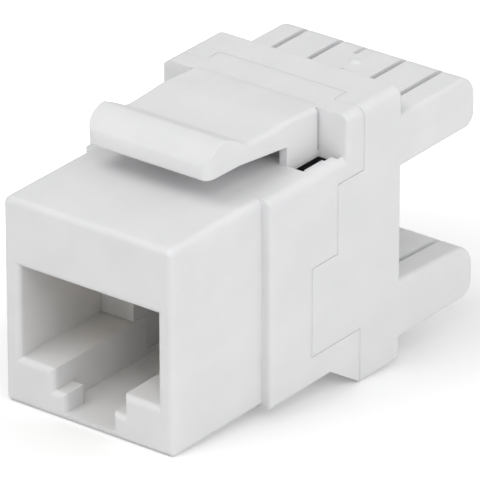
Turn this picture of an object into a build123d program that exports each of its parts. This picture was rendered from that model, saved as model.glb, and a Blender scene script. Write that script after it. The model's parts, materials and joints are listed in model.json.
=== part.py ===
from build123d import *
import os
from math import cos, radians, sin

# A white keystone jack: an 8-way modular port in front, a springy panel latch on top,
# and two jaws of insulation-displacement slots at the back. Lengths are in millimetres.
# Depths run back from the front face, heights up from the underside of the front body,
# and x is measured from the middle. The finished pieces are then set down so that the
# origin is at the middle of the footprint, on the level of the foot.

# Fits
seam_gap = 0.04
slide_gap = 0.05
pin_gap = 0.06

# Front housing, outside
body_width = 14.8
body_height = 15.9
body_round = 0.45
body_top_round = 0.6
shoulder_depth = 10.15
shoulder_step = 0.8
shoulder_round = 0.3
top_round = 0.8
low_round = 0.3
side_wall = 1.1
floor_wall = 1.0
deck_wall = 0.55
sleeve_drop = 0.22
ramp_length = 3.3
ramp_margin = 0.1
tower_rise = 3.2
tower_length = 1.95
tower_wall = 0.8

# Port for the plug, with the stepped channel for its latch
port_side_wall = 1.35
port_headroom = 5.15
port_depth = 9.1
port_shelf_height = 3.65
port_edge_round = 0.45
channel_width = 6.2
channel_floor = 0.5
channel_reach = 4.1
ledge_height = 1.95
ledge_gap = 4.2
ledge_depth = 2.1

# Contact carrier, with a tongue over the port and a comb behind it
carrier_wall = 0.7
bay_setback = 1.5
tongue_margin = 1.05
tongue_front = 2.5
tongue_height = 2.3
tongue_clearance = 0.9
comb_depth = 1.1
comb_drop = 2.9
groove_play = 0.06
groove_depth = 0.9

# Spring contacts of the port
contact_count = 8
contact_pitch = 1.016
contact_width = 0.44
contact_thickness = 0.3
contact_bend = 0.55
contact_wrap = 0.4
contact_turn_drop = 0.4
contact_end_drop = 2.5
contact_end_setback = 0.35

# Circuit board between the port and the jaws
board_thickness = 1.2
board_corner = 0.8

# Barbs of the rear housing, and the snap windows in the deck that they hold in
barb_setback = 0.5
barb_length = 2.55
barb_width = 0.45
barb_height = 0.38
barb_ramp = 0.5
window_front_gap = 0.1
window_back_gap = 0.9
window_notch_width = 0.5
window_notch_length = 0.5

# Panel latch, which leans up towards the front from its root on the deck
latch_width = 11.2
latch_taper = 0.3
latch_thickness = 1.6
latch_reach = 8.95
latch_rise = 4.4
root_edge_round = 0.45
arm_edge_round = 0.3
latch_corner_round = 0.6
root_length = 3.6
hinge_rise = 2.63
root_side_wall = 0.65
root_hollow_length = 2.9
root_hollow_roof = 0.35
crease_width = 0.15
crease_depth = 0.25
lip_setback = 0.6
ridge_back_run = 0.8
ridge_crest_setback = 2.0
ridge_height = 0.78
ridge_face_height = 0.5
tip_drop = 0.5
ridge_round = 0.65
ridge_foot_round = 0.5
brow_round = 0.6
tip_round = 0.3

# Stepped joint between the two housings, on each side from the bottom up
step_low_height = 1.9
step_mid_height = 8.9
step_high_drop = 1.6
step_low_setback = 3.0
step_mid_setback = 3.05
step_foot_setback = 0.3
roof_tongue_width = 11.2
roof_tongue_length = 1.35
seam_round = 0.1

# Rear housing
rear_wall = 4.55
jaw_end_depth = 34.6
hood_step = 2.25
upper_jaw_thickness = 4.05
lower_jaw_low = -0.8
lower_jaw_root_high = 3.9
lower_jaw_end_high = 3.35
foot_drop = 2.4
core_side_wall = 0.8
core_roof = 0.6
core_hollow_height = 5.7
core_hollow_length = 6.3
relief_width = 2.0
relief_overrun = 2.4
hood_edge_round = 0.35
upper_outer_round = 1.7
upper_inner_round = 1.1
lower_outer_round = 1.3
lower_inner_round = 1.9
jaw_side_round = 0.4
foot_round = 0.3

# Wire slots through the jaws, with a flared mouth at the back
slot_inner_x = 2.8
slot_margin = 2.2
slot_width = 0.45
slot_length = 7.2
slot_mouth = 1.1
slot_mouth_length = 0.7
notch_width = 0.4
notch_depth = 0.35
notch_length = 2.6
notch_offset = 0.7
gate_offset = 0.15
gate_setback = 3.7
gate_radius = 0.5
gate_height = 0.16
gate_pit_radius = 0.3
gate_pit_depth = 0.4
gate_pit_setback = 5.45

# Insulation-displacement contacts
upper_blade_lift = 1.5
lower_blade_height = 1.8
blade_width = 1.6
blade_thickness = 0.4
blade_slit = 0.3
blade_slit_length = 3.6
blade_mouth = 0.8
blade_setback = 2.4
blade_body_depth = 23.0
leg_width = 0.7

# Worked out from the sizes above: widths
half_body = body_width / 2
half_shoulder = half_body + shoulder_step
port_half = half_body - port_side_wall
bay_half = half_shoulder - side_wall
insert_half = bay_half - slide_gap
latch_tip_width = latch_width - 2 * latch_taper
window_inner = latch_width / 2
window_outer = bay_half
window_notch_outer = bay_half + window_notch_width
barb_inner = insert_half - barb_width
tongue_half = contact_pitch * (contact_count - 1) / 2 + tongue_margin
groove_width = contact_width + 2 * groove_play
slot_outer_x = half_shoulder - slot_margin

# Depths, one after the other from the front
bay_front = port_depth + bay_setback
channel_depth = port_depth + channel_reach
board_front = channel_depth + carrier_wall
board_back = board_front + board_thickness
core_front = board_back + slide_gap
barb_front = core_front + barb_setback
barb_back = barb_front + barb_length
window_front = barb_front - window_front_gap
tower_front = barb_back + window_back_gap
tower_inner_front = tower_front + tower_wall
hinge_depth = tower_front - root_length
step_high_depth = tower_front + tower_length
step_mid_depth = step_high_depth - step_mid_setback
step_low_depth = step_mid_depth - step_low_setback
step_foot_depth = step_high_depth - step_foot_setback
ramp_depth = step_foot_depth - ramp_length
roof_seam_depth = step_high_depth + roof_tongue_length
rear_face_depth = step_high_depth + rear_wall
slot_front = jaw_end_depth - slot_length
blade_end_depth = jaw_end_depth - blade_setback
contact_front = tongue_front - contact_wrap
contact_end_depth = port_depth - contact_end_setback
ridge_crest = latch_reach - ridge_crest_setback
ridge_back = ridge_crest - ridge_back_run
footprint_middle = jaw_end_depth / 2

# Heights
bay_low = floor_wall
bay_high = body_height - deck_wall
ramp_low = foot_drop - ramp_margin
core_hollow_high = bay_high - slide_gap - core_roof
core_hollow_low = core_hollow_high - core_hollow_height
tower_top = body_height + tower_rise
tower_inner_top = tower_top - tower_wall
hinge_height = body_height + hinge_rise
step_high_height = body_height - step_high_drop
port_top = body_height - port_headroom
tongue_low = port_top + slide_gap
tongue_high = tongue_low + tongue_height
run_height = tongue_high - groove_depth + slide_gap + contact_thickness / 2
contact_turn_height = port_top - contact_turn_drop
contact_end_height = port_top - contact_end_drop
upper_jaw_high = tower_top - hood_step
upper_jaw_low = upper_jaw_high - upper_jaw_thickness
upper_blade_height = upper_jaw_low + upper_blade_lift


def side_profile(points, half_width, rounds=()):
    """A solid with this outline of (depth, height) points, across the middle.

    Each round is a corner of the outline and its radius.
    """
    outline = make_face(Polyline(*points, close=True))
    for corner, radius in rounds:
        outline = fillet(outline.vertices().sort_by_distance((*corner, 0))[0], radius)
    return extrude(Plane.YZ * outline, half_width, both=True)


def front_profile(sketch, depth_from, depth_to):
    """A solid with this (x, height) sketch between two depths."""
    return extrude(Plane.XZ.offset(-depth_from) * sketch, -(depth_to - depth_from))


def plan_profile(sketch, height_from, height_to):
    """A solid with this (x, depth) sketch between two heights."""
    return extrude(Plane.XY.offset(height_from) * sketch, height_to - height_from)


def window(x_from, x_to, y_from, y_to):
    """A rectangle between two limits each way."""
    middle = Pos((x_from + x_to) / 2, (y_from + y_to) / 2)
    return middle * Rectangle(x_to - x_from, y_to - y_from)


def capped_section(half_width, low, high, high_round, corner_round):
    """A section whose upper corners are well rounded and whose lower ones are eased."""
    outline = window(-half_width, half_width, low, high)
    tops = outline.vertices().sort_by(Axis.Y)[-2:]
    outline = fillet(tops, high_round)
    return fillet(outline.vertices().sort_by(Axis.Y)[:2], corner_round)


def latch_point(along, above):
    """The (depth, height) of a point on the latch, from its hinge axis."""
    lean = radians(latch_rise)
    depth = hinge_depth - along * cos(lean) - above * sin(lean)
    return depth, hinge_height + along * sin(lean) + above * cos(lean)


def contact_places():
    """The x of each spring contact, from left to right."""
    first = -contact_pitch * (contact_count - 1) / 2
    return [first + contact_pitch * place for place in range(contact_count)]


def slot_places():
    """The x of each wire slot of a jaw, from left to right."""
    return [-slot_outer_x, -slot_inner_x, slot_inner_x, slot_outer_x]


def seam_edges(housing, depths, heights):
    """The outer edges of a housing's sides along the stepped joint."""
    outer = housing.edges().filter_by(lambda edge: abs(abs(edge.center().X) - half_shoulder) < 0.01)
    upright = outer.filter_by(Axis.Z)
    upright = upright.filter_by(lambda edge: any(abs(edge.center().Y - depth) < 0.01 for depth in depths))
    level = outer.filter_by(Axis.Y)
    level = level.filter_by(lambda edge: any(abs(edge.center().Z - height) < 0.01 for height in heights))
    return upright + level


def port_space():
    """What the plug takes up: the tunnel, its latch channel and the ledges' gap."""
    half_channel = channel_width / 2
    tunnel = window(-port_half, port_half, port_shelf_height, port_top)
    channel = window(-half_channel, half_channel, ledge_height, port_shelf_height + 1)
    mouth = window(-ledge_gap / 2, ledge_gap / 2, channel_floor, ledge_height + 1)
    wide = window(-half_channel, half_channel, channel_floor, port_shelf_height + 1)
    space = front_profile(tunnel, -1, bay_front + 1)
    space += front_profile(channel, -1, ledge_depth + 1)
    space += front_profile(mouth, -1, ledge_depth + 1)
    return space + front_profile(wide, ledge_depth, bay_front + 1)


def insert_bay():
    """The hollow behind the port, which the carrier, the board and the core fill."""
    bay = window(-bay_half, bay_half, bay_low, bay_high)
    tower = window(-bay_half, bay_half, bay_low, tower_inner_top)
    tongue = window(-tongue_half - slide_gap, tongue_half + slide_gap,
                    port_top - 1, tongue_high + slide_gap)
    space = front_profile(bay, bay_front, roof_seam_depth + 1)
    space += front_profile(tower, tower_inner_front, roof_seam_depth + 1)
    return space + front_profile(tongue, tongue_front - tongue_clearance, bay_front + 1)


def latch_root():
    """The block on the deck that carries the latch, hollowed for its round end."""
    top_at_lip = latch_point(-lip_setback, latch_thickness / 2)
    top_at_tower = tower_front + tower_wall / 2, tower_top
    outline = [(hinge_depth, body_height - deck_wall / 2),
               (hinge_depth, hinge_height),
               (hinge_depth + lip_setback, hinge_height),
               top_at_lip, top_at_tower,
               (tower_front + tower_wall / 2, body_height - deck_wall / 2)]
    root = side_profile(outline, latch_width / 2)
    tops = root.edges().filter_by(lambda edge: abs(edge.center().X) > latch_width / 2 - 0.01)
    tops = tops.filter_by(lambda edge: edge.center().Z > hinge_height + latch_thickness / 4)
    tops = tops.filter_by(lambda edge: edge.length > lip_setback)
    root = fillet(tops, root_edge_round)
    socket = Cylinder(latch_thickness / 2 + pin_gap, latch_width + 2)
    root -= Pos(0, hinge_depth, hinge_height) * Rot(0, 90, 0) * socket
    half_hollow = latch_width / 2 - root_side_wall
    hollow = window(-half_hollow, half_hollow, hinge_depth - 1, hinge_depth + root_hollow_length)
    hollow_high = hinge_height - latch_thickness / 2 - pin_gap - root_hollow_roof
    root -= plan_profile(hollow, body_height, hollow_high)
    for side in (-1, 1):
        near = min(side * latch_width / 2, side * (latch_width / 2 - crease_depth))
        crease = window(near, near + crease_depth, tower_front - crease_width, tower_front)
        root -= plan_profile(crease, body_height, tower_top)
    return root


def sleeve_ramp():
    """The wedge under the sleeve, which runs down to the foot behind it."""
    fall = (ramp_low - sleeve_drop) / ramp_length
    start = ramp_depth - (sleeve_drop + low_round) / fall
    outline = [(start, low_round), (step_foot_depth, -ramp_low), (step_foot_depth, low_round)]
    return side_profile(outline, half_shoulder)


def front_housing():
    """The nose with the port, the shoulders, the deck, the tower and the latch root."""
    nose_section = capped_section(half_body, 0, body_height, body_top_round, low_round)
    nose = front_profile(nose_section, 0, shoulder_depth + 1)
    nose = fillet(nose.faces().sort_by(Axis.Y)[0].edges(), body_round)
    stepped = [(shoulder_depth, -sleeve_drop), (step_foot_depth, -sleeve_drop),
               (step_foot_depth, step_low_height), (step_low_depth, step_low_height),
               (step_low_depth, step_mid_height), (step_mid_depth, step_mid_height),
               (step_mid_depth, step_high_height), (step_high_depth, step_high_height),
               (step_high_depth, body_height), (shoulder_depth, body_height)]
    deck_section = capped_section(half_shoulder, -sleeve_drop, body_height, top_round, low_round)
    sleeve = side_profile(stepped, half_shoulder)
    corners = sleeve.edges().filter_by(Axis.Z).group_by(Axis.Y)[0]
    sleeve = fillet(corners, shoulder_round)
    sleeve &= front_profile(deck_section, 0, jaw_end_depth)
    raised = [(tower_front, step_high_height), (step_high_depth, step_high_height),
              (step_high_depth, tower_top), (tower_front, tower_top)]
    tower_section = capped_section(half_shoulder, 0, tower_top, top_round, low_round)
    tower = side_profile(raised, half_shoulder)
    tower_corners = tower.edges().filter_by(Axis.Z).group_by(Axis.Y)[0]
    tower = fillet(tower_corners, shoulder_round)
    tower &= front_profile(tower_section, 0, jaw_end_depth)
    roof = window(-roof_tongue_width / 2, roof_tongue_width / 2, tower_inner_top, tower_top)
    housing = nose + sleeve + tower + front_profile(roof, step_high_depth - 1, roof_seam_depth)
    housing += sleeve_ramp()
    housing = housing - insert_bay() - port_space()
    rim = housing.faces().sort_by(Axis.Y)[0].inner_wires()[0].edges()
    rim = rim.filter_by(lambda edge: edge.center().Z > channel_floor + port_edge_round)
    housing = fillet(rim, port_edge_round)
    for side in (-1, 1):
        near = min(window_inner * side, window_outer * side)
        gap = window(near, near + window_outer - window_inner, window_front, tower_front)
        near = min(window_inner * side, window_notch_outer * side)
        gap += window(near, near + window_notch_outer - window_inner,
                      tower_front - window_notch_length, tower_front)
        housing -= plan_profile(gap, bay_high - 1, body_height + 1)
    depths = (step_foot_depth, step_low_depth, step_mid_depth, step_high_depth)
    heights = (step_low_height, step_mid_height, step_high_height)
    housing = fillet(seam_edges(housing, depths, heights), seam_round)
    return housing + latch_root()


def latch_arm():
    """The latch: a tapered arm with a round end at its root and a ridge at its tip."""
    half = latch_thickness / 2
    crest = half + ridge_height
    brow = ridge_face_height - half
    outline = [latch_point(0, -half), latch_point(0, half),
               latch_point(ridge_back, half), latch_point(ridge_crest, crest),
               latch_point(latch_reach, brow),
               latch_point(latch_reach, -half - tip_drop)]
    rounds = ((outline[3], ridge_round), (outline[2], ridge_foot_round),
              (outline[4], brow_round), (outline[5], tip_round))
    arm = side_profile(outline, latch_width / 2, rounds)
    tip = latch_point(latch_reach, brow)[0]
    taper = [(latch_width / 2, hinge_depth + latch_thickness),
             (latch_width / 2, hinge_depth), (latch_tip_width / 2, tip),
             (-latch_tip_width / 2, tip), (-latch_width / 2, hinge_depth),
             (-latch_width / 2, hinge_depth + latch_thickness)]
    plan = make_face(Polyline(*taper, close=True))
    plan = fillet(plan.vertices().group_by(Axis.Y)[0], latch_corner_round)
    arm &= plan_profile(plan, 0, tower_top * 2)
    sides = arm.edges().filter_by(lambda edge: edge.length > ridge_back / 2)
    sides = sides.filter_by(lambda edge: abs(edge.center().X) > latch_tip_width / 4)
    arm = fillet(sides.sort_by(Axis.Z)[-2:], arm_edge_round)
    pin = Pos(0, hinge_depth, hinge_height) * Rot(0, 90, 0) * Cylinder(half, latch_width)
    return arm + pin


def jaw(outer, inner_root, inner_end, outer_round, inner_round):
    """One jaw: a plate back from the block, with a rounded end and eased sides."""
    start = rear_face_depth - 1
    outline = make_face(Polyline((start, outer), (jaw_end_depth, outer),
                                 (jaw_end_depth, inner_end), (start, inner_root), close=True))
    corner = outline.vertices().sort_by_distance((jaw_end_depth, outer, 0))[0]
    outline = fillet(corner, outer_round)
    corner = outline.vertices().sort_by_distance((jaw_end_depth, inner_end, 0))[0]
    outline = fillet(corner, inner_round)
    plate = extrude(Plane.YZ * outline, half_shoulder, both=True)
    sides = plate.edges().filter_by(lambda edge: abs(edge.center().X) > half_shoulder - 0.01)
    sides = sides.filter_by(lambda edge: edge.center().Y > start + 0.01)
    return fillet(sides, jaw_side_round)


def wire_slot(x):
    """The space of a wire slot seen from above: straight, then flared at the back."""
    half = slot_width / 2
    flare = slot_mouth / 2
    end = jaw_end_depth
    points = [(x - half, slot_front), (x - half, end - slot_mouth_length), (x - flare, end + 1),
              (x + flare, end + 1), (x + half, end - slot_mouth_length), (x + half, slot_front)]
    return make_face(Polyline(*points, close=True))


def blade_pocket(x, height):
    """The pocket that an insulation-displacement contact slides into from the front."""
    half = blade_width / 2 + slide_gap
    thick = blade_thickness / 2 + slide_gap
    return plan_profile(window(x - half, x + half, core_front - 1, blade_end_depth + slide_gap),
                        height - thick, height + thick)


def gate_mark():
    """The stub that the moulding gate leaves on the upper jaw."""
    swell = gate_radius * gate_radius + gate_height * gate_height
    ball = Sphere(swell / (2 * gate_height))
    centre_height = upper_jaw_high + gate_height - swell / (2 * gate_height)
    cap = Pos(gate_offset, jaw_end_depth - gate_setback, centre_height) * ball
    above = plan_profile(Pos(gate_offset, jaw_end_depth - gate_setback) * Circle(2 * gate_radius),
                         upper_jaw_high - 0.1, upper_jaw_high + 1)
    return cap & above


def core_hollow():
    """The hollow in the front of the core, and the relief slots beside its barbs."""
    half = insert_half - core_side_wall
    hollow = front_profile(window(-half, half, core_hollow_low, core_hollow_high),
                           core_front - 1, core_front + core_hollow_length)
    for side in (-1, 1):
        near = min(side * barb_inner, side * (barb_inner - relief_width))
        slot = window(near, near + relief_width, core_front - 1, barb_back + relief_overrun)
        hollow += plan_profile(slot, core_hollow_high - 0.1, bay_high + 1)
    return hollow


def rear_housing():
    """The rear block with its foot, the core that fills the sleeve, and both jaws."""
    gap = seam_gap
    outline = [(step_foot_depth + gap, -foot_drop), (rear_face_depth, -foot_drop),
               (rear_face_depth, tower_top), (step_high_depth + gap, tower_top),
               (step_high_depth + gap, step_high_height - gap),
               (step_mid_depth + gap, step_high_height - gap),
               (step_mid_depth + gap, step_mid_height - gap),
               (step_low_depth + gap, step_mid_height - gap),
               (step_low_depth + gap, step_low_height + gap),
               (step_foot_depth + gap, step_low_height + gap)]
    block = side_profile(outline, half_shoulder)
    section = capped_section(half_shoulder, -foot_drop, tower_top, top_round, foot_round)
    block &= front_profile(section, 0, jaw_end_depth)
    block -= front_profile(window(-bay_half, bay_half, bay_low, bay_high), 0, core_front)
    depths = [depth + gap for depth in (step_foot_depth, step_low_depth, step_mid_depth, step_high_depth)]
    heights = (step_low_height + gap, step_mid_height - gap, step_high_height - gap)
    block = fillet(seam_edges(block, depths, heights), seam_round)
    hood_edge = block.edges().filter_by(Axis.X).group_by(Axis.Z)[-1].sort_by(Axis.Y)[-1]
    block = fillet(hood_edge, hood_edge_round)
    core = [(core_front, bay_low + slide_gap), (rear_face_depth - 1, bay_low + slide_gap),
            (rear_face_depth - 1, tower_inner_top - slide_gap),
            (tower_inner_front + slide_gap, tower_inner_top - slide_gap),
            (tower_inner_front + slide_gap, bay_high - slide_gap),
            (core_front, bay_high - slide_gap)]
    housing = block + side_profile(core, insert_half) - core_hollow()
    notch = window(-roof_tongue_width / 2 - gap, roof_tongue_width / 2 + gap,
                   tower_inner_top - slide_gap, tower_top + 1)
    housing -= front_profile(notch, step_high_depth - 1, roof_seam_depth + gap)
    housing += jaw(upper_jaw_high, upper_jaw_low, upper_jaw_low, upper_outer_round, upper_inner_round)
    housing += jaw(lower_jaw_low, lower_jaw_root_high, lower_jaw_end_high,
                   lower_outer_round, lower_inner_round)
    for x in slot_places():
        slot = wire_slot(x)
        housing -= plan_profile(slot, upper_jaw_low - 0.5, upper_jaw_high + 0.5)
        housing -= plan_profile(slot, lower_jaw_low - 0.5, lower_jaw_root_high + 0.5)
        housing -= blade_pocket(x, upper_blade_height)
        housing -= blade_pocket(x, lower_blade_height)
    notch_plan = Pos(-notch_offset, 0) * window(-notch_width / 2, notch_width / 2,
                                                jaw_end_depth - notch_length, jaw_end_depth + 1)
    housing -= plan_profile(notch_plan, upper_jaw_high - notch_depth, upper_jaw_high + 1)
    pit_place = Pos(gate_offset, jaw_end_depth - gate_pit_setback, upper_jaw_high)
    pit = pit_place * Cylinder(gate_pit_radius, 2 * gate_pit_depth)
    housing = housing + gate_mark() - pit
    for side in (-1, 1):
        housing += snap_barb(side)
    return housing


def snap_barb(side):
    """A barb on top of the core: a short ramp in front and an upright face behind."""
    base = bay_high - slide_gap - 0.2
    top = bay_high - slide_gap + barb_height
    ramp = [(barb_front, base), (barb_back, base), (barb_back, top),
            (barb_front + barb_ramp, top), (barb_front, bay_high - slide_gap)]
    half = barb_width / 2
    return Pos(side * (barb_inner + half), 0, 0) * side_profile(ramp, half)


def contact_carrier():
    """The carrier behind the port, its tongue over it, and the comb between the contacts."""
    half_channel = channel_width / 2
    back = board_front - slide_gap
    body = window(-insert_half, insert_half, bay_low + slide_gap, bay_high - slide_gap)
    nose = window(-port_half + slide_gap, port_half - slide_gap,
                  port_shelf_height + slide_gap, port_top - slide_gap)
    tongue = window(-tongue_half, tongue_half, tongue_low, tongue_high)
    carrier = front_profile(body, bay_front + slide_gap, back)
    carrier += front_profile(nose, port_depth, bay_front + 1)
    carrier += front_profile(tongue, tongue_front, bay_front + 1)
    comb = window(-tongue_half, tongue_half, port_top - comb_drop, tongue_low + 0.5)
    carrier += front_profile(comb, port_depth - comb_depth, port_depth + 1)
    pocket = window(-half_channel, half_channel, channel_floor, port_top - comb_drop)
    carrier -= front_profile(pocket, 0, channel_depth)
    for x in contact_places():
        left = x - groove_width / 2
        right = x + groove_width / 2
        groove = window(left, right, tongue_high - groove_depth, bay_high + 1)
        carrier -= front_profile(groove, 0, board_front + 1)
        slot = window(left, right, port_top - comb_drop - 1, tongue_low)
        carrier -= front_profile(slot, 0, port_depth + slide_gap)
    return carrier


def circuit_board():
    """The board that joins each spring contact to an insulation-displacement contact."""
    outline = window(-insert_half, insert_half, bay_low + slide_gap, bay_high - slide_gap)
    outline = chamfer(outline.vertices(), board_corner)
    board = front_profile(outline, board_front, board_back)
    contact_hole = Rectangle(contact_width + 2 * slide_gap, contact_thickness + 2 * slide_gap)
    leg_hole = Rectangle(leg_width + 2 * slide_gap, blade_thickness + 2 * slide_gap)
    for x in contact_places():
        board -= front_profile(Pos(x, run_height) * contact_hole, board_front - 1, board_back + 1)
    for x in slot_places():
        for height in (upper_blade_height, lower_blade_height):
            board -= front_profile(Pos(x, height) * leg_hole, board_front - 1, board_back + 1)
    return board


def spring_contact(x):
    """A strip from the board, forward over the tongue and back down into the port."""
    points = [(x, board_back, run_height), (x, contact_front, run_height),
              (x, contact_front, contact_turn_height),
              (x, contact_end_depth, contact_end_height)]
    path = FilletPolyline(*points, radius=contact_bend)
    start = Plane(origin=points[0], x_dir=(1, 0, 0), z_dir=(0, -1, 0))
    return sweep(start * Rectangle(contact_width, contact_thickness), path=path)


def idc_contact(x, height):
    """A flat blade with a slit between two tines, and a leg forward to the board."""
    half = blade_width / 2
    slit = blade_slit / 2
    mouth = blade_mouth / 2
    lead = (blade_mouth - blade_slit) / 2
    root = blade_end_depth - blade_slit_length
    points = [(leg_width / 2, board_front), (leg_width / 2, blade_body_depth),
              (half, blade_body_depth + half - leg_width / 2), (half, blade_end_depth),
              (mouth, blade_end_depth), (slit, blade_end_depth - lead), (slit, root),
              (-slit, root), (-slit, blade_end_depth - lead), (-mouth, blade_end_depth),
              (-half, blade_end_depth), (-half, blade_body_depth + half - leg_width / 2),
              (-leg_width / 2, blade_body_depth), (-leg_width / 2, board_front)]
    blade = Pos(x, 0) * make_face(Polyline(*points, close=True))
    return plan_profile(blade, height - blade_thickness / 2, height + blade_thickness / 2)


def write(node, shape):
    """Sets a piece down in the jack's own frame and writes it."""
    placed = Pos(0, -footprint_middle, foot_drop) * shape
    export_step(placed, f"parts/{node}.step")


os.makedirs("parts", exist_ok=True)
write("front_housing", front_housing())
write("latch_arm", latch_arm())
write("rear_housing", rear_housing())
write("contact_carrier", contact_carrier())
write("circuit_board", circuit_board())
for number, place in enumerate(contact_places(), start=1):
    write(f"jack_contact_{number}", spring_contact(place))
blade_places = [(x, height) for height in (upper_blade_height, lower_blade_height) for x in slot_places()]
for number, (place, level) in enumerate(blade_places, start=1):
    write(f"idc_contact_{number}", idc_contact(place, level))
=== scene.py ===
import bpy, bmesh, json, math
from mathutils import Matrix, Vector


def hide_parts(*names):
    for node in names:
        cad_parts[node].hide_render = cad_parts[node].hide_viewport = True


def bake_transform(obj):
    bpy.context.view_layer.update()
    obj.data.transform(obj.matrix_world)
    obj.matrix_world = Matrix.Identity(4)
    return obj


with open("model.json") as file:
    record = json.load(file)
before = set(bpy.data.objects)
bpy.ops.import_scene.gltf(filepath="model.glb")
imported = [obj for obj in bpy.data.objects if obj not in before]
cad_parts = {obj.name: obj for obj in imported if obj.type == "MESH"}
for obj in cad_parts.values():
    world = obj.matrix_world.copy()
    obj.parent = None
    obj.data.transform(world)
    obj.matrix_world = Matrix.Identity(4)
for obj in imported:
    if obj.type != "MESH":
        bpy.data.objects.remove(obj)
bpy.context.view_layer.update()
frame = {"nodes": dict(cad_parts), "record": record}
mm = 0.001
print("frame loaded:", len(frame["nodes"]), "nodes")


class Signal:                                  # a socket that takes part in plain arithmetic
    def __init__(self, maker, socket):
        self.maker, self.socket = maker, socket

    def combine(self, operation, *values):
        return self.maker.add("ShaderNodeMath", {"operation": operation}, dict(enumerate(values)))

    def __add__(self, other): return self.combine("ADD", self, other)
    def __radd__(self, other): return self.combine("ADD", other, self)
    def __sub__(self, other): return self.combine("SUBTRACT", self, other)
    def __rsub__(self, other): return self.combine("SUBTRACT", other, self)
    def __mul__(self, other): return self.combine("MULTIPLY", self, other)
    def __rmul__(self, other): return self.combine("MULTIPLY", other, self)
    def __truediv__(self, other): return self.combine("DIVIDE", self, other)
    def __rtruediv__(self, other): return self.combine("DIVIDE", other, self)
    def most(self, other): return self.combine("MAXIMUM", self, other)
    def power(self, other): return self.combine("POWER", self, other)
    def sine(self): return self.combine("SINE", self)

    def between(self, low, high):              # 0 below low, 1 above high, smooth in between
        return self.maker.add("ShaderNodeMapRange", {"interpolation_type": "SMOOTHSTEP"},
                              {"Value": self, "From Min": low, "From Max": high})

    def out(self, name):                       # another output of the same node
        return Signal(self.maker, self.socket.node.outputs[name])


class Finish:                                  # a material or world whose nodes are made by one method
    def __init__(self, name, library=bpy.data.materials):
        self.owner = library.new(name)
        self.owner.use_nodes = True
        self.tree = self.owner.node_tree
        self.tree.nodes.clear()

    def add(self, kind, settings=None, sockets=None, output=0):
        node = self.tree.nodes.new(kind)
        for key, value in (settings or {}).items():
            setattr(node, key, value)
        for key, value in (sockets or {}).items():
            if isinstance(value, Signal):
                self.tree.links.new(value.socket, node.inputs[key])
            else:
                node.inputs[key].default_value = value
        return Signal(self, node.outputs[output]) if len(node.outputs) else None

    def where(self):                           # the jack's own frame, in millimetres
        place = self.add("ShaderNodeTexCoord", output="Object")
        return self.add("ShaderNodeVectorMath", {"operation": "SCALE"}, {0: place, "Scale": 1 / mm})

    def parts(self, vector):
        split = self.add("ShaderNodeSeparateXYZ", sockets={0: vector})
        return split, split.out("Y"), split.out("Z")

    def stretch(self, vector, scale):
        return self.add("ShaderNodeVectorMath", {"operation": "MULTIPLY"}, {0: vector, 1: scale})

    def noise(self, vector, scale, detail=2.0, rough=0.5):
        return self.add("ShaderNodeTexNoise",
                        sockets={"Vector": vector, "Scale": scale, "Detail": detail, "Roughness": rough})

    def mix(self, amount, first, second):      # 6 and 7 are the colour sockets, 2 the colour output
        return self.add("ShaderNodeMix", {"data_type": "RGBA"}, {0: amount, 6: first, 7: second}, 2)

    def bump(self, height, distance, strength, under=None):
        sockets = {"Height": height, "Distance": distance, "Strength": strength}
        if under is not None:
            sockets["Normal"] = under
        return self.add("ShaderNodeBump", sockets=sockets)

    def close(self, sockets):                  # the surface shader, and the way out
        return self.leave(self.add("ShaderNodeBsdfPrincipled", sockets=sockets))

    def leave(self, shader, kind="ShaderNodeOutputMaterial"):
        self.add(kind, sockets={"Surface": shader})
        return self.owner


# scales are in waves per millimetre, heights in millimetres and throughReach in metres
housingLook = {"tone": (0.80, 0.80, 0.805, 1), "shade": (0.765, 0.767, 0.775, 1), "toneBand": (0.32, 0.68),
               "rough": 0.46, "flowRough": 0.10, "grainRough": 0.05, "shine": 0.34, "ior": 1.5,
               "through": 0.12, "throughReach": 0.0012, "cloudScale": 0.22, "cloudShare": 0.6,
               "flowScale": 0.9, "flowStretch": (0.5, 0.12, 0.5), "flowShare": 0.4,
               "speckTone": (0.61, 0.61, 0.61, 1), "speckScale": 2.6, "speckBand": (0.66, 0.78),
               "speckShare": 0.05, "grainScale": 9.0, "grainHeight": 0.0016,
               "waveScale": 0.55, "waveHeight": 0.004}


def makeHousingPlastic(look):                  # satin white: cloudy pigment, fine spark grain, slow waves
    f = Finish("housingPlastic")
    place = f.where()
    cloud = f.noise(place, look["cloudScale"], 3.0, 0.55)
    run = f.stretch(place, look["flowStretch"])  # streaks along the way the melt ran
    flow = f.noise(run, look["flowScale"])
    grain = f.noise(place, look["grainScale"], 3.0, 0.6)
    speck = f.noise(place, look["speckScale"], 1.0).between(*look["speckBand"])
    pale = (cloud * look["cloudShare"] + flow * look["flowShare"]).between(*look["toneBand"])
    tint = f.mix(pale, look["shade"], look["tone"])
    tint = f.mix(speck * look["speckShare"], tint, look["speckTone"])
    rough = look["rough"] + (flow - 0.5) * look["flowRough"] + (grain - 0.5) * look["grainRough"]
    relief = f.bump(grain, look["grainHeight"] * mm, 0.6)
    relief = f.bump(f.noise(place, look["waveScale"], 1.0), look["waveHeight"] * mm, 0.7, relief)
    return f.close({"Base Color": tint, "Roughness": rough, "Normal": relief, "IOR": look["ior"],
                    "Specular IOR Level": look["shine"], "Subsurface Weight": look["through"],
                    "Subsurface Scale": look["throughReach"], "Subsurface Radius": (1.0, 1.0, 1.0)})


carrierLook = {"tone": (0.75, 0.75, 0.755, 1), "shade": (0.70, 0.70, 0.70, 1), "toneBand": (0.35, 0.65),
               "rough": 0.52, "cloudRough": 0.12, "ior": 1.5, "cloudScale": 0.5,
               "lineScale": 21.0, "lineHeight": 0.0012, "wobbleScale": 0.8, "wobble": 2.0,
               "grainScale": 7.0, "grainHeight": 0.003}


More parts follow.
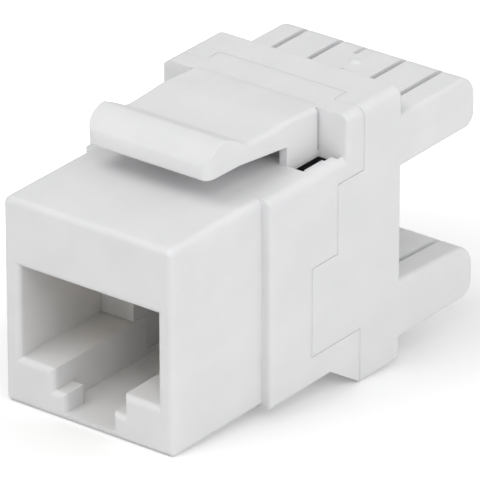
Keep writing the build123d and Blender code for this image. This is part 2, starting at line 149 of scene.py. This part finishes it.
def makeCarrierPlastic(look):                  # duller white, with the faint lines of a milled mould
    f = Finish("carrierPlastic")
    place = f.where()
    height = f.parts(place)[2]
    lines = (height * look["lineScale"] + f.noise(place, look["wobbleScale"]) * look["wobble"]).sine()
    cloud = f.noise(place, look["cloudScale"], 3.0)
    tint = f.mix(cloud.between(*look["toneBand"]), look["shade"], look["tone"])
    relief = f.bump(lines, look["lineHeight"] * mm, 0.5)
    relief = f.bump(f.noise(place, look["grainScale"], 3.0), look["grainHeight"] * mm, 0.6, relief)
    rough = look["rough"] + (cloud - 0.5) * look["cloudRough"]
    return f.close({"Base Color": tint, "Roughness": rough, "Normal": relief, "IOR": look["ior"]})


boardLook = {"resinTone": (0.012, 0.085, 0.035, 1), "fibreTone": (0.03, 0.15, 0.06, 1),
             "rough": 0.3, "cloudRough": 0.15, "ior": 1.5, "coat": 0.4, "coatRough": 0.15,
             "cloudScale": 0.7, "cloudShare": 0.4, "weaveScale": 9.0, "weaveBand": (-0.9, 0.9),
             "weaveShare": 0.35, "weaveHeight": 0.004, "trackTone": (0.05, 0.22, 0.08, 1),
             "trackShare": 0.5, "trackScale": 1.9, "trackBand": (0.72, 0.8), "bendScale": 0.7, "bend": 1.2}


def makeBoardLaminate(look):                   # green lacquer over a woven laminate with paler tracks
    f = Finish("boardLaminate")
    place = f.where()
    x, _, z = f.parts(place)
    threads = (x * look["weaveScale"]).sine() * (z * look["weaveScale"]).sine()
    weave = threads.between(*look["weaveBand"])
    cloud = f.noise(place, look["cloudScale"], 3.0)
    bend = (x * look["bendScale"]).sine() * look["bend"]
    tracks = (z * look["trackScale"] + bend).sine().between(*look["trackBand"])
    fibre = weave * look["weaveShare"] + cloud * look["cloudShare"]
    tint = f.mix(fibre, look["resinTone"], look["fibreTone"])
    tint = f.mix(tracks * look["trackShare"], tint, look["trackTone"])
    rough = look["rough"] + (cloud - 0.5) * look["cloudRough"]
    relief = f.bump(weave, look["weaveHeight"] * mm, 0.5)
    return f.close({"Base Color": tint, "Roughness": rough, "Normal": relief, "IOR": look["ior"],
                    "Coat Weight": look["coat"], "Coat Roughness": look["coatRough"]})


contactLook = {"tone": (0.88, 0.68, 0.32, 1), "shade": (0.78, 0.56, 0.22, 1), "toneBand": (0.3, 0.7),
               "rough": 0.24, "lineRough": 0.22, "spotScale": 1.7,
               "lineStretch": (16.0, 0.7, 2.0), "lineHeight": 0.0025}
bladeLook = {"tone": (0.66, 0.66, 0.64, 1), "shade": (0.56, 0.56, 0.55, 1), "toneBand": (0.3, 0.7),
             "rough": 0.38, "lineRough": 0.25, "spotScale": 2.4,
             "lineStretch": (1.0, 14.0, 14.0), "lineHeight": 0.003}


def makeMetal(name, look):                     # drawn or brushed lines, the plating a little uneven
    f = Finish(name)
    place = f.where()
    lines = f.noise(f.stretch(place, look["lineStretch"]), 1.0, 3.0, 0.6)
    spots = f.noise(place, look["spotScale"], 3.0)
    tint = f.mix(spots.between(*look["toneBand"]), look["shade"], look["tone"])
    rough = look["rough"] + (lines - 0.5) * look["lineRough"]
    relief = f.bump(lines, look["lineHeight"] * mm, 0.7)
    return f.close({"Base Color": tint, "Roughness": rough, "Normal": relief, "Metallic": 1.0})


finishOf = {"housing_plastic": makeHousingPlastic(housingLook),
            "carrier_plastic": makeCarrierPlastic(carrierLook),
            "board_laminate": makeBoardLaminate(boardLook),
            "contact_gold": makeMetal("contactGold", contactLook),
            "blade_tin": makeMetal("bladeTin", bladeLook)}
slotOf = {part["node"]: part["material_slot"] for part in frame["record"]["subparts"]}
for name, node in frame["nodes"].items():
    for materialSlot in node.material_slots:
        materialSlot.material = finishOf[slotOf[name]]
print("finishes made:", len(finishOf))


# the panel latch: arm, bead and root block as one moulding; the real latch flexes over its root
# depths run back from the front face and heights up from the nose's underside, in millimetres
# sharpFrom is an angle in degrees
latchShape = {"half": 5.63, "halfTip": 5.33, "taperFrom": 15.5, "cornerRound": 0.8,
              "tipDepth": 6.62, "tipHeight": 17.93, "tipTop": 18.97, "tipCorner": 0.22,
              "thickFrom": 10.2, "jointHeight": 17.41, "rootFront": 15.47, "rootFillet": 0.2,
              "foot": 15.5, "back": 19.5, "backHeight": 19.1,
              "roof": [(17.0, 19.255), (16.15, 19.305), (15.35, 19.31)],
              "brow": [(14.4, 19.26), (13.0, 19.21), (11.9, 19.2), (11.35, 19.23), (10.95, 19.34),
                       (10.45, 19.6), (9.8, 19.93), (9.3, 20.16), (8.95, 20.32), (8.7, 20.375),
                       (8.35, 20.34), (7.92, 20.19), (7.47, 19.91), (7.06, 19.55), (6.735, 19.19)],
              "topRound": 0.4, "ridgeRound": 0.07, "ridgeFrom": 11.6, "ridgeReach": 1.2, "lowRound": 0.06,
              "rim": 0.04, "sideSteps": 5, "browSteps": 4, "cornerSteps": 7, "sharpFrom": 40,
              "cuts": [(6.68, 0.08, 12), (8, 1, 7), (14.3, 0.2, 13)],  # first depth, step and number
              "hollowHalf": 4.93, "hollowBack": 18.37, "hollowTop": 17.28, "hollowPast": 0.5,
              "creaseFrom": 18.97, "creaseDepth": 0.25, "creaseFoot": 15.9, "creaseTop": 20,
              "creasePast": 1}
middleDepth, footDrop = 17.3, 2.4              # from the front face's frame to the jack's own


def placed(x, depth, height):
    return Vector((x, depth - middleDepth, height + footDrop)) * mm


def smoothChain(points, steps):                # a Catmull-Rom run through the points
    chain = []
    ends = [points[0]] + points + [points[-1]]
    for i in range(1, len(ends) - 2):
        p0, p1, p2, p3 = (Vector(p) for p in ends[i - 1:i + 3])
        for k in range(steps):
            t = k / steps
            chain.append(0.5 * ((2 * p1) + (p2 - p0) * t + (2 * p0 - 5 * p1 + 4 * p2 - p3) * t * t
                                + (3 * p1 - p0 - 3 * p2 + p3) * t ** 3))
    return chain + [Vector(points[-1])]


def cornerArc(before, corner, after, radius, steps):
    before, corner, after = Vector(before), Vector(corner), Vector(after)
    a, b = (before - corner).normalized(), (after - corner).normalized()
    half = a.angle(b) / 2
    middle = corner + (a + b).normalized() * (radius / math.sin(half))
    first = corner + a * (radius / math.tan(half)) - middle
    last = corner + b * (radius / math.tan(half)) - middle
    return [middle + first.lerp(last, k / steps).normalized() * radius for k in range(steps + 1)]


def inset(outline, offsets):                   # the outline moved inwards, which is to its left
    moved = []
    for i, p in enumerate(outline):
        a, b = (p - outline[i - 1]).normalized(), (outline[(i + 1) % len(outline)] - p).normalized()
        a, b = Vector((-a.y, a.x)), Vector((-b.y, b.x))
        moved.append(p + (a + b) * (offsets[i] / (1 + a.dot(b))))
    return moved


def topEdgeRound(shape, depth):                # soft along the arm, tighter along the ridge
    onRidge = min(max((shape["ridgeFrom"] - depth) / shape["ridgeReach"], 0), 1)
    return shape["topRound"] + (shape["ridgeRound"] - shape["topRound"]) * onRidge


def latchOutline(shape):                       # depth and height, along the top to the tip and back below
    front, foot, back, steps = shape["rootFront"], shape["foot"], shape["back"], shape["cornerSteps"]
    brow = shape["brow"] + [(shape["tipDepth"], shape["tipTop"])]
    corner = (shape["tipDepth"], shape["tipHeight"])
    bend = (shape["thickFrom"], shape["tipHeight"])
    joint = (front, shape["jointHeight"])
    above = [Vector(p) for p in [(back, shape["backHeight"])] + shape["roof"]]
    above += smoothChain(brow, shape["browSteps"])
    below = cornerArc(brow[-1], corner, bend, shape["tipCorner"], steps) + [Vector(bend)]
    below += cornerArc(bend, joint, (front, foot), shape["rootFillet"], steps)
    below += [Vector((front, foot)), Vector((back, foot))]
    return above + below, [topEdgeRound(shape, p.x) for p in above] + [shape["lowRound"]] * len(below)


def sideRings(shape, rounds):                  # places across and insets for each ring, side to side
    half, rim, steps = shape["half"], shape["rim"], shape["sideSteps"]
    right = [([half - r - rim for r in rounds], [0.0] * len(rounds))]
    for k in range(steps + 1):
        turn = math.pi / 2 * k / steps
        right.append(([half - r + r * math.sin(turn) for r in rounds],
                      [r - r * math.cos(turn) for r in rounds]))
    right.append(([half] * len(rounds), [r + rim for r in rounds]))
    return [([-x for x in places], offsets) for places, offsets in reversed(right)] + right


def shapeInPlan(mesh, shape):                  # the arm narrows to its tip, whose corners are rounded
    half, tip, corner, start = shape["half"], shape["tipDepth"], shape["cornerRound"], shape["taperFrom"]
    for vert in mesh.verts:
        depth = vert.co.y / mm + middleDepth
        near = max(depth - tip, 0)
        along = min(max((start - depth) / (start - tip), 0), 1)
        width = half + (shape["halfTip"] - half) * along
        if near < corner:
            width -= corner - math.sqrt(corner ** 2 - (corner - near) ** 2)
        vert.co.x *= width / half


def newPiece(name, mesh):                      # an object from a bmesh, which is freed
    data = bpy.data.meshes.new(name)
    mesh.to_mesh(data)
    mesh.free()
    piece = bpy.data.objects.new(name, data)
    bpy.context.scene.collection.objects.link(piece)
    return piece


def cutBox(piece, low, high):                  # takes a box, given by two corners, out of a piece
    mesh = bmesh.new()
    bmesh.ops.create_cube(mesh, size=1)
    low, high = placed(*low), placed(*high)
    for vert in mesh.verts:
        vert.co = [a + (b - a) * (c + 0.5) for a, b, c in zip(low, high, vert.co)]
    tool = newPiece("cutter", mesh)
    cut = piece.modifiers.new("cut", "BOOLEAN")
    cut.operation, cut.solver, cut.object = "DIFFERENCE", "EXACT", tool
    bpy.context.view_layer.update()
    solid = bpy.data.meshes.new_from_object(piece.evaluated_get(bpy.context.evaluated_depsgraph_get()))
    piece.modifiers.remove(cut)
    bpy.data.objects.remove(tool)
    piece.data = solid
    mesh = bmesh.new()
    mesh.from_mesh(solid)
    bmesh.ops.remove_doubles(mesh, verts=mesh.verts, dist=1e-7)
    bmesh.ops.recalc_face_normals(mesh, faces=mesh.faces)
    mesh.to_mesh(solid)
    mesh.free()


def makeLatch(shape, finish):
    outline, rounds = latchOutline(shape)
    mesh = bmesh.new()
    rings = []
    for places, offsets in sideRings(shape, rounds):
        points = zip(places, inset(outline, offsets))
        rings.append([mesh.verts.new(placed(x, p.x, p.y)) for x, p in points])
    count = len(outline)
    for a, b in zip(rings, rings[1:]):
        for k in range(count):
            mesh.faces.new((a[k], a[(k + 1) % count], b[(k + 1) % count], b[k]))
    mesh.faces.new(rings[0])
    mesh.faces.new(reversed(rings[-1]))
    for start, step, number in shape["cuts"]:  # cuts across the arm let it narrow and round off
        for k in range(number):
            everything = list(mesh.verts) + list(mesh.edges) + list(mesh.faces)
            bmesh.ops.bisect_plane(mesh, geom=everything, dist=1e-7, plane_no=(0, 1, 0),
                                   plane_co=placed(0, start + step * k, 0))
    bmesh.ops.remove_doubles(mesh, verts=mesh.verts, dist=1e-6)
    shapeInPlan(mesh, shape)
    bmesh.ops.recalc_face_normals(mesh, faces=mesh.faces)
    piece = newPiece("panelLatch", mesh)
    half, past = shape["hollowHalf"], shape["hollowPast"]
    cutBox(piece, (-half, shape["rootFront"] - past, shape["foot"] - past),
           (half, shape["hollowBack"], shape["hollowTop"]))
    inner, outer = shape["half"] - shape["creaseDepth"], shape["half"] + shape["creasePast"]
    for near, far in ((-outer, -inner), (inner, outer)):  # the crease where the root meets the tower
        cutBox(piece, (near, shape["creaseFrom"], shape["creaseFoot"]),
               (far, shape["back"] + shape["creasePast"], shape["creaseTop"]))
    piece.data.shade_smooth()
    piece.data.set_sharp_from_angle(angle=math.radians(shape["sharpFrom"]))
    piece.data.materials.append(finish)
    return piece


panelLatch = makeLatch(latchShape, finishOf["housing_plastic"])
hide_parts("latch_arm")
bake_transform(panelLatch)
print("panel latch made")


cameraSettings = {"place": (0.251731, -0.3324, 0.214812), "right": (0.797388, 0.603467, -0.000276),
                  "up": (-0.265591, 0.351347, 0.897784), "back": (0.54188, -0.715809, 0.440435),
                  "lens": 491.58, "sensor": 36.0, "clip": (0.05, 5.0)}


def makeCamera(look):
    data = bpy.data.cameras.new("camera")
    data.lens, data.sensor_width = look["lens"], look["sensor"]
    data.clip_start, data.clip_end = look["clip"]
    camera = bpy.data.objects.new("camera", data)
    turn = Matrix((look["right"], look["up"], look["back"])).transposed().to_4x4()
    camera.matrix_world = Matrix.Translation(look["place"]) @ turn
    bpy.context.scene.collection.objects.link(camera)
    bpy.context.scene.camera = camera


makeCamera(cameraSettings)
print("camera set")


# the paper floor leans so that the jack rests on its nose and its foot, each given as y and z in metres
# liftNear is the paper's weaker glow near the jack, painted shade; liftFar is the plain white glow away
# from it
floorSettings = {"nose": (-0.0171, 0.0024), "foot": (0.00353, 0.0), "gap": 0.00002, "reach": 0.6,
                 "colour": (0.82, 0.82, 0.82, 1), "halfWidth": 8.2, "halfLength": 17.3, "centre": 7.0,
                 "liftNear": 0.25, "liftFar": 0.95, "liftFrom": 1.3, "liftTo": 5.4}


def makeFloorPaper(look):
    f = Finish("floorPaper")
    rays = f.add("ShaderNodeLightPath")        # starts at Is Camera Ray
    direct = rays.most(rays.out("Is Glossy Ray")).most(rays.out("Is Transmission Ray"))
    x, y, _ = f.parts(f.where())               # the paper glows whiter away from the jack; its weaker glow near the jack is painted shade over the real shadow
    across, along = x / look["halfWidth"], (y - look["centre"]) / look["halfLength"]
    away = (across.power(2.0) + along.power(2.0)).power(0.5)
    outOfPaintedShade = away.between(look["liftFrom"], look["liftTo"])
    strength = outOfPaintedShade * (look["liftFar"] - look["liftNear"]) + look["liftNear"]
    paper = f.add("ShaderNodeBsdfDiffuse", sockets={"Color": look["colour"]})
    lift = f.add("ShaderNodeEmission", sockets={"Color": (1, 1, 1, 1), "Strength": strength})
    both = f.add("ShaderNodeAddShader", sockets={0: paper, 1: lift})
    return f.leave(f.add("ShaderNodeMixShader", sockets={0: direct, 1: paper, 2: both}))


def makeFloor(look):
    (noseDepth, noseHeight), (footDepth, footHeight), reach = look["nose"], look["foot"], look["reach"]
    rise = (noseHeight - footHeight) / (noseDepth - footDepth)
    data = bpy.data.meshes.new("floor")
    corners = [(x, y, footHeight + rise * (y - footDepth) - look["gap"])
               for x, y in ((-reach, -reach), (reach, -reach), (reach, reach), (-reach, reach))]
    data.from_pydata(corners, [], [(0, 1, 2, 3)])
    data.materials.append(makeFloorPaper(look))
    floor = bpy.data.objects.new("floor", data)
    bpy.context.scene.collection.objects.link(floor)
    return floor


floor = makeFloor(floorSettings)
print("floor laid")


studioSettings = {"fill": 0.47, "white": 1.0, "view": "Standard"}


def makeStudio(look):                          # a grey fill for the light, plain white behind the jack
    f = Finish("studio", bpy.data.worlds)
    rays = f.add("ShaderNodeLightPath")        # starts at Is Camera Ray
    direct = rays.most(rays.out("Is Transmission Ray"))
    fill, white = (f.add("ShaderNodeBackground", sockets={"Color": (1, 1, 1, 1), "Strength": look[key]})
                   for key in ("fill", "white"))
    both = f.add("ShaderNodeMixShader", sockets={0: direct, 1: fill, 2: white})
    return f.leave(both, "ShaderNodeOutputWorld")


bpy.context.scene.world = makeStudio(studioSettings)
bpy.context.scene.view_settings.view_transform = studioSettings["view"]
print("studio made")


lampTarget = (0, 0, 0.01)
lampSettings = {"leftTopBox": {"place": (-0.10, -0.20, 0.40), "size": 0.25, "power": 0.60},
                "keyBox": {"place": (0.19, -0.26, 0.33), "size": 0.16, "power": 0.34},
                "sideBox": {"place": (0.40, -0.02, 0.20), "size": 0.30, "power": 0.48},
                "backRightBox": {"place": (0.22, 0.30, 0.24), "size": 0.25, "power": 0.15},
                "backLeftBox": {"place": (-0.14, 0.30, 0.32), "size": 0.30, "power": 0.04}}


def softLamp(name, place, size, power):
    data = bpy.data.lights.new(name, "AREA")
    data.shape, data.size, data.energy = "SQUARE", size, power
    lamp = bpy.data.objects.new(name, data)
    lamp.location = place
    lamp.rotation_mode = "QUATERNION"
    lamp.rotation_quaternion = (Vector(lampTarget) - Vector(place)).to_track_quat("-Z", "Y")
    bpy.context.scene.collection.objects.link(lamp)


for name, settings in lampSettings.items():
    softLamp(name, **settings)
print("lamps set:", len(lampSettings))
